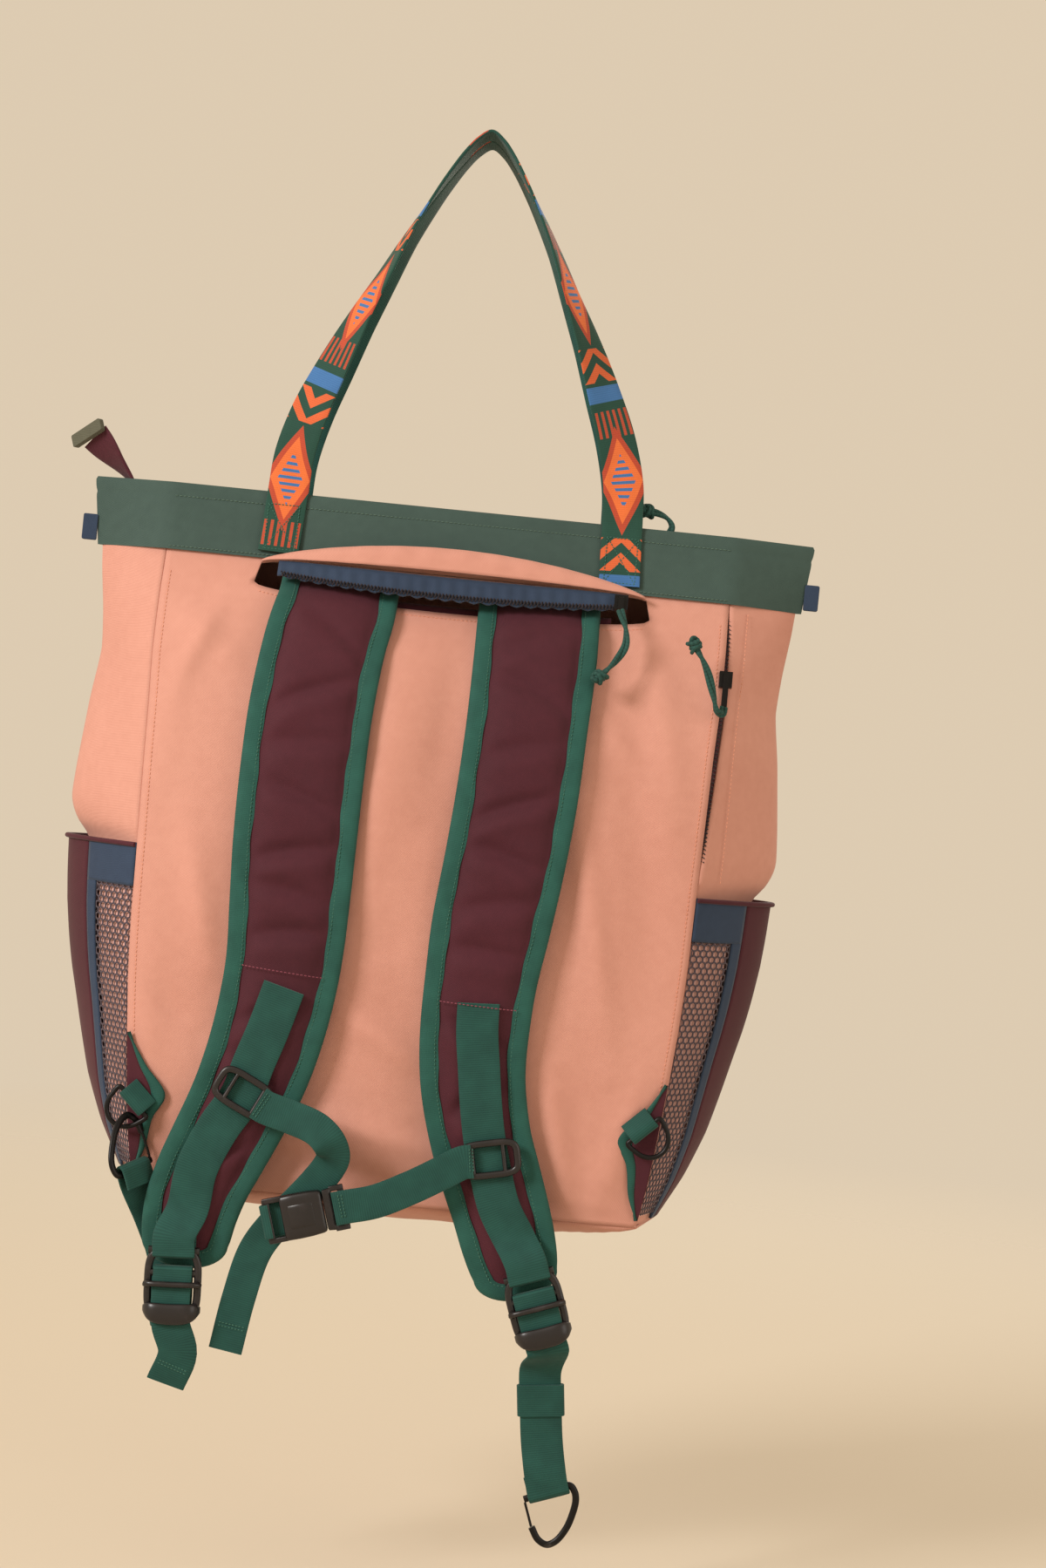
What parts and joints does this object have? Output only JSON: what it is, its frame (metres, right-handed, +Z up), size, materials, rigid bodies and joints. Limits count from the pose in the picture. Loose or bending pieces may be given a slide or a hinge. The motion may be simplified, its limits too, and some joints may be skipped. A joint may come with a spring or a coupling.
{
  "type": "convertible tote backpack",
  "caption": "Tall cloth tote that is also worn on the back: two patterned hand loops, padded shoulder straps from a slit pocket, sternum strap, side pockets and clip-on lower straps.",
  "frame": {"origin": "grip point inside the top of the two hand loops, from which the bag hangs", "axes": "+Z up, +X to the right seen from the strap side, the padded straps on the -Y side"},
  "size_m": [0.4737, 0.1671, 0.8472],
  "materials": {
    "pink_cloth": "plain woven nylon",
    "collar_cloth": "plain woven nylon, grey green",
    "green_webbing": "woven webbing and binding tape",
    "burgundy_cloth": "plain woven nylon, dark red",
    "navy_cloth": "elastic, mesh and zip tape, dark blue",
    "olive_cap": "moulded zip end cap",
    "black_plastic": "moulded buckle plastic",
    "dark_metal": "black coated metal",
    "pattern_webbing": "woven webbing with bands of orange, rust and blue figures on dark green"
  },
  "bodies": {
    "root": {"back_panel": "pink_cloth", "front_panel": "pink_cloth", "gusset_left": "pink_cloth", "gusset_right": "pink_cloth", "base_panel": "pink_cloth", "collar_band": "collar_cloth", "closure_strip": "burgundy_cloth", "top_zip": "burgundy_cloth", "top_zip_slider": "dark_metal", "top_zip_pull": "green_webbing", "zip_tail": "burgundy_cloth", "zip_tail_cap": "olive_cap", "side_tab_left": "navy_cloth", "side_tab_right": "navy_cloth", "slit_flap": "pink_cloth", "slit_zip": "navy_cloth", "slit_facing": "burgundy_cloth", "slit_zip_slider": "dark_metal", "slit_zip_pull": "green_webbing", "side_zip": "burgundy_cloth", "side_zip_slider": "dark_metal", "side_zip_pull": "green_webbing", "shoulder_pad_left": "burgundy_cloth", "shoulder_pad_right": "burgundy_cloth", "pad_binding_left": "green_webbing", "pad_binding_right": "green_webbing", "strap_webbing_left": "green_webbing", "strap_webbing_right": "green_webbing", "sternum_slider_left": "black_plastic", "sternum_slider_right": "black_plastic", "sternum_webbing_left": "green_webbing", "sternum_wrap": "green_webbing", "sternum_webbing_right": "green_webbing", "buckle_socket": "black_plastic", "buckle_plug": "black_plastic", "ladder_lock_left": "black_plastic", "ladder_lock_right": "black_plastic", "lower_webbing_left": "green_webbing", "lower_webbing_right": "green_webbing", "webbing_keeper_right": "green_webbing", "hook_left": "dark_metal", "hook_right": "dark_metal", "side_pocket_left": "burgundy_cloth", "side_pocket_right": "burgundy_cloth", "pocket_mesh_left": "navy_cloth", "pocket_mesh_right": "navy_cloth", "pocket_elastic_left": "navy_cloth", "pocket_elastic_right": "navy_cloth", "corner_tab_left": "burgundy_cloth", "corner_tab_right": "burgundy_cloth", "tab_binding_left": "green_webbing", "tab_binding_right": "green_webbing", "ring_loop_left": "green_webbing", "ring_loop_right": "green_webbing", "d_ring_left": "dark_metal", "d_ring_right": "dark_metal", "handle_back": "pattern_webbing", "handle_front": "pattern_webbing"},
    "gate_left": {"hook_gate_left": "dark_metal"},
    "gate_right": {"hook_gate_right": "dark_metal"}
  },
  "joints": [
    {"name": "gate_left_hinge", "type": "hinge", "parent": "root", "child": "gate_left", "pos_m": [-0.1418, -0.06552, -0.6348], "axis": [0.7254, -0.6157, 0.3079], "range_deg": [0, 20], "stiffness_Nm_per_rad": 0.02, "springref_deg": -8.59},
    {"name": "gate_right_hinge", "type": "hinge", "parent": "root", "child": "gate_right", "pos_m": [0.1022, -0.066, -0.81978], "axis": [0, -1, 0], "range_deg": [0, 20], "stiffness_Nm_per_rad": 0.02, "springref_deg": -8.59}
  ]
}
